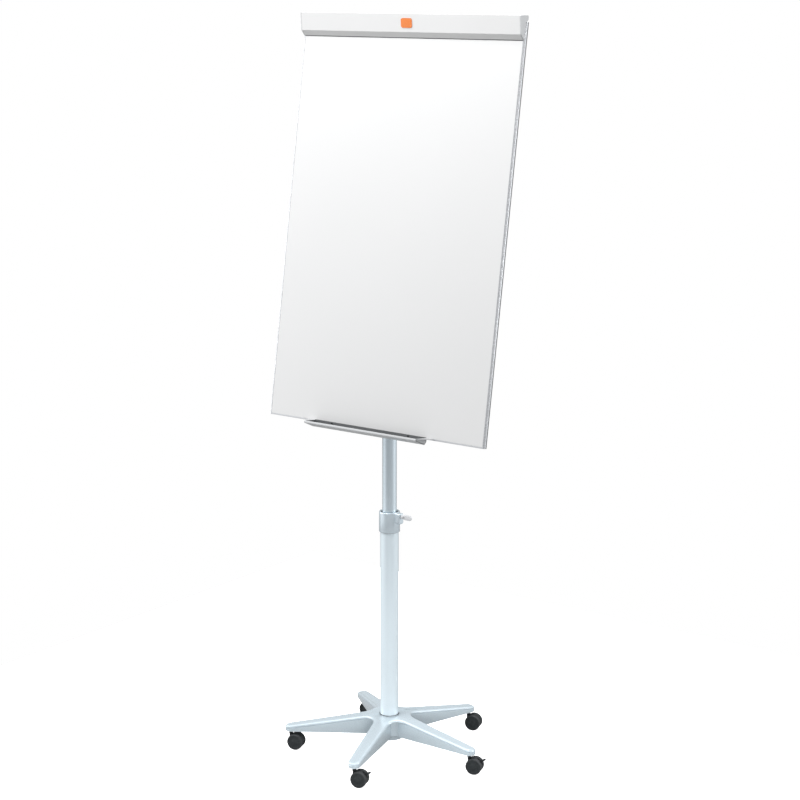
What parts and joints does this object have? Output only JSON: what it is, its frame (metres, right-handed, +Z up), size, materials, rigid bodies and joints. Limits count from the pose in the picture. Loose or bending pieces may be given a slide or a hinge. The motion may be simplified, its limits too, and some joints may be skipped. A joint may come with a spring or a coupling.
{
  "type": "flipchart easel",
  "caption": "Leaning magnetic flipchart board with a hinged pad clamp and pen tray, on a telescopic column and a castored five-armed star base.",
  "frame": {"origin": "on the column axis at floor level", "axes": "+Z up, the board faces -Y, +X is to the right of someone facing the board"},
  "size_m": [0.67, 0.5318, 1.9008],
  "materials": {
    "paint": "satin silver-blue powder coat",
    "base_paint": "satin silver-blue powder coat",
    "charcoal": "moulded charcoal plastic",
    "wheel": "moulded charcoal plastic",
    "steel": "zinc plated",
    "dark_steel": "black zinc",
    "silver": "satin anodised",
    "enamel": "white enamel, magnetic steel",
    "clamp_white": "white powder coat",
    "cap_grey": "moulded light grey plastic",
    "fibre_board": "raw fibre board",
    "back_steel": "galvanised sheet",
    "grip": "extruded rubber",
    "badge_orange": "plain orange badge"
  },
  "bodies": {
    "base": {"star_base": "base_paint", "castor_stems": "dark_steel", "foot_ring": "charcoal", "lower_tube": "paint", "tube_plug": "steel", "foot_bolt": "steel", "collar": "paint", "collar_bush": "charcoal"},
    "column_slide": {"column_glide": "charcoal"},
    "mast": {"upper_tube": "paint", "tilt_head": "charcoal"},
    "lock_travel": {"lock_pad": "charcoal"},
    "lock_turn": {"lock_screw": "steel"},
    "board": {"pivot_bolt": "steel", "tilt_bracket": "paint", "bracket_screws": "steel", "spine": "paint", "board_face": "enamel", "board_core": "fibre_board", "board_back": "back_steel", "frame_left": "silver", "frame_right": "silver", "frame_bottom": "silver", "header": "silver", "corner_plugs": "charcoal", "pen_tray": "silver", "tray_screws": "steel", "hinge_blocks": "charcoal", "hinge_pins": "steel"},
    "knob": {"tilt_knob": "charcoal"},
    "clamp": {"clamp_bar": "clamp_white", "clamp_cap_left": "cap_grey", "clamp_cap_right": "cap_grey", "clamp_grip": "grip", "clamp_badge": "badge_orange"},
    "peg_left": {"peg_left": "steel"},
    "peg_right": {"peg_right": "steel"},
    "brake_1": {"brake_1": "charcoal"},
    "brake_5": {"brake_5": "charcoal"},
    "castor_1": {"castor_1_housing": "charcoal", "castor_1_axle": "steel"},
    "wheel_1_left": {"castor_1_wheel_left": "wheel"},
    "wheel_1_right": {"castor_1_wheel_right": "wheel"},
    "castor_2": {"castor_2_housing": "charcoal", "castor_2_axle": "steel"},
    "wheel_2_left": {"castor_2_wheel_left": "wheel"},
    "wheel_2_right": {"castor_2_wheel_right": "wheel"},
    "castor_3": {"castor_3_housing": "charcoal", "castor_3_axle": "steel"},
    "wheel_3_left": {"castor_3_wheel_left": "wheel"},
    "wheel_3_right": {"castor_3_wheel_right": "wheel"},
    "castor_4": {"castor_4_housing": "charcoal", "castor_4_axle": "steel"},
    "wheel_4_left": {"castor_4_wheel_left": "wheel"},
    "wheel_4_right": {"castor_4_wheel_right": "wheel"},
    "castor_5": {"castor_5_housing": "charcoal", "castor_5_axle": "steel"},
    "wheel_5_left": {"castor_5_wheel_left": "wheel"},
    "wheel_5_right": {"castor_5_wheel_right": "wheel"}
  },
  "joints": [
    {"name": "board_tilt", "type": "hinge", "parent": "mast", "child": "board", "pos_m": [0, 0, 1.05], "axis": [-1, 0, 0], "range_deg": [-9.1, 15]},
    {"name": "clamp_bar_open", "type": "hinge", "parent": "board", "child": "clamp", "pos_m": [0, 0.09792, 1.88985], "axis": [-1, 0, 0], "range_deg": [0, 85], "stiffness_Nm_per_rad": 0.5, "springref_deg": -28.65},
    {"name": "column_height", "type": "slide", "parent": "base", "child": "column_slide", "axis": [0, 0, 1], "range_m": [-0.185, 0.085]},
    {"name": "column_turn", "type": "hinge", "parent": "column_slide", "child": "mast", "pos_m": [0, 0, 0.45], "axis": [0, 0, 1], "continuous": true},
    {"name": "lock_screw_turn", "type": "hinge", "parent": "lock_travel", "child": "lock_turn", "pos_m": [0.045, 0, 0.639], "axis": [1, 0, 0], "range_deg": [0, 720]},
    {"name": "lock_screw_travel", "type": "slide", "parent": "base", "child": "lock_travel", "axis": [1, 0, 0], "range_m": [0, 0.0025]},
    {"name": "knob_turn", "type": "hinge", "parent": "board", "child": "knob", "pos_m": [0.025, 0, 1.05], "axis": [1, 0, 0], "range_deg": [0, 360]},
    {"name": "peg_left_slide", "type": "slide", "parent": "board", "child": "peg_left", "axis": [1, 0, 0], "range_m": [-0.09, 0.09]},
    {"name": "peg_right_slide", "type": "slide", "parent": "board", "child": "peg_right", "axis": [1, 0, 0], "range_m": [-0.09, 0.09]},
    {"name": "brake_1_press", "type": "hinge", "parent": "castor_1", "child": "brake_1", "pos_m": [0.28338, 0.00093, 0.031], "axis": [-0.2823, 0.9593, 0], "range_deg": [0, 14]},
    {"name": "brake_5_press", "type": "hinge", "parent": "castor_5", "child": "brake_5", "pos_m": [0.09859, -0.24076, 0.031], "axis": [-0.2823, 0.9593, 0], "range_deg": [0, 14]},
    {"name": "swivel_1", "type": "hinge", "parent": "base", "child": "castor_1", "pos_m": [0.25872, -0.00632, 0.045], "axis": [0, 0, 1], "continuous": true},
    {"name": "wheel_1_left", "type": "hinge", "parent": "castor_1", "child": "wheel_1_left", "pos_m": [0.27, 0.00742, 0.021], "axis": [-0.2823, 0.9593, 0], "continuous": true},
    {"name": "wheel_1_right", "type": "hinge", "parent": "castor_1", "child": "wheel_1_right", "pos_m": [0.27565, -0.01177, 0.021], "axis": [-0.2823, 0.9593, 0], "continuous": true},
    {"name": "swivel_2", "type": "hinge", "parent": "base", "child": "castor_2", "pos_m": [0.08596, 0.24411, 0.045], "axis": [0, 0, 1], "continuous": true},
    {"name": "wheel_2_left", "type": "hinge", "parent": "castor_2", "child": "wheel_2_left", "pos_m": [0.09724, 0.25785, 0.021], "axis": [-0.2823, 0.9593, 0], "continuous": true},
    {"name": "wheel_2_right", "type": "hinge", "parent": "castor_2", "child": "wheel_2_right", "pos_m": [0.10289, 0.23866, 0.021], "axis": [-0.2823, 0.9593, 0], "continuous": true},
    {"name": "swivel_3", "type": "hinge", "parent": "base", "child": "castor_3", "pos_m": [-0.20559, 0.15719, 0.045], "axis": [0, 0, 1], "continuous": true},
    {"name": "wheel_3_left", "type": "hinge", "parent": "castor_3", "child": "wheel_3_left", "pos_m": [-0.19432, 0.17093, 0.021], "axis": [-0.2823, 0.9593, 0], "continuous": true},
    {"name": "wheel_3_right", "type": "hinge", "parent": "castor_3", "child": "wheel_3_right", "pos_m": [-0.18867, 0.15175, 0.021], "axis": [-0.2823, 0.9593, 0], "continuous": true},
    {"name": "swivel_4", "type": "hinge", "parent": "base", "child": "castor_4", "pos_m": [-0.21303, -0.14696, 0.045], "axis": [0, 0, 1], "continuous": true},
    {"name": "wheel_4_left", "type": "hinge", "parent": "castor_4", "child": "wheel_4_left", "pos_m": [-0.20175, -0.13321, 0.021], "axis": [-0.2823, 0.9593, 0], "continuous": true},
    {"name": "wheel_4_right", "type": "hinge", "parent": "castor_4", "child": "wheel_4_right", "pos_m": [-0.1961, -0.1524, 0.021], "axis": [-0.2823, 0.9593, 0], "continuous": true},
    {"name": "swivel_5", "type": "hinge", "parent": "base", "child": "castor_5", "pos_m": [0.07394, -0.24801, 0.045], "axis": [0, 0, 1], "continuous": true},
    {"name": "wheel_5_left", "type": "hinge", "parent": "castor_5", "child": "wheel_5_left", "pos_m": [0.08521, -0.23427, 0.021], "axis": [-0.2823, 0.9593, 0], "continuous": true},
    {"name": "wheel_5_right", "type": "hinge", "parent": "castor_5", "child": "wheel_5_right", "pos_m": [0.09086, -0.25346, 0.021], "axis": [-0.2823, 0.9593, 0], "continuous": true}
  ],
  "couplings": [
    {"joint": "lock_screw_turn", "follows": "lock_screw_travel", "rad_per_m": 5026.5}
  ]
}
